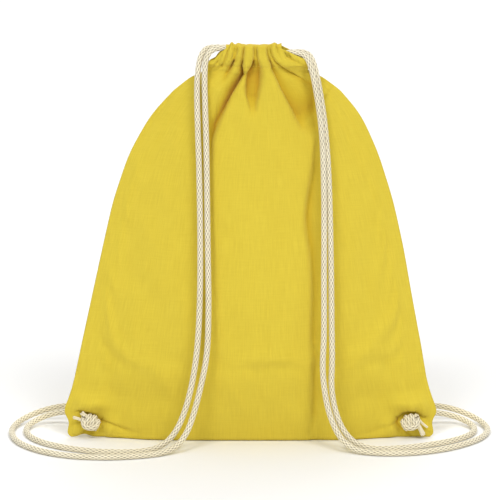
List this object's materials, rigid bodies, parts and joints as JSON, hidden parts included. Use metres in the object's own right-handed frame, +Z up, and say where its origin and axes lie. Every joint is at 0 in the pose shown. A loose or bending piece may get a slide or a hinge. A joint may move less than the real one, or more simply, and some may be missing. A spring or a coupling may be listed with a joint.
{
  "type": "drawstring backpack",
  "caption": "Flat cotton drawstring backpack, mouth gathered on braided cords that run down as shoulder straps and are knotted through the bottom corners.",
  "frame": {"origin": "middle of the base, on the surface that the bag stands on", "axes": "+Z up to the gathered mouth, -Y towards the front where the cords hang, +X to the right seen from the front"},
  "size_m": [0.4971, 0.1688, 0.418],
  "materials": {
    "cloth": "matte",
    "cord": "matte",
    "thread": "matte"
  },
  "bodies": {
    "bag": {"back_panel": "cloth", "bottom_seam": "cloth", "front_panel": "cloth", "left_cord_back_end": "cord", "left_cord_back_strand": "cord", "left_cord_front_end": "cord", "left_cord_front_strand": "cord", "left_cord_return": "cord", "left_corner": "cloth", "left_hole_stitching": "thread", "left_knot": "cord", "left_side_seam": "cloth", "right_cord_back_end": "cord", "right_cord_back_strand": "cord", "right_cord_front_end": "cord", "right_cord_front_strand": "cord", "right_cord_return": "cord", "right_corner": "cloth", "right_hole_stitching": "thread", "right_knot": "cord", "right_side_seam": "cloth"},
    "front_mouth": {"front_hem": "cloth", "front_hem_stitching": "thread", "left_cord_front_run": "cord", "right_cord_front_run": "cord"},
    "back_mouth": {"back_hem": "cloth", "back_hem_stitching": "thread", "left_cord_back_run": "cord", "right_cord_back_run": "cord"}
  },
  "joints": [
    {"name": "mouth_front_open", "type": "hinge", "parent": "bag", "child": "front_mouth", "pos_m": [0.008, -0.016, 0.3874], "axis": [1, 0, 0], "range_deg": [0, 30]},
    {"name": "mouth_back_open", "type": "hinge", "parent": "bag", "child": "back_mouth", "pos_m": [0.008, 0.016, 0.3874], "axis": [1, 0, 0], "range_deg": [-30, 0]}
  ],
  "couplings": [
    {"joint": "mouth_back_open", "follows": "mouth_front_open", "ratio": -1}
  ]
}
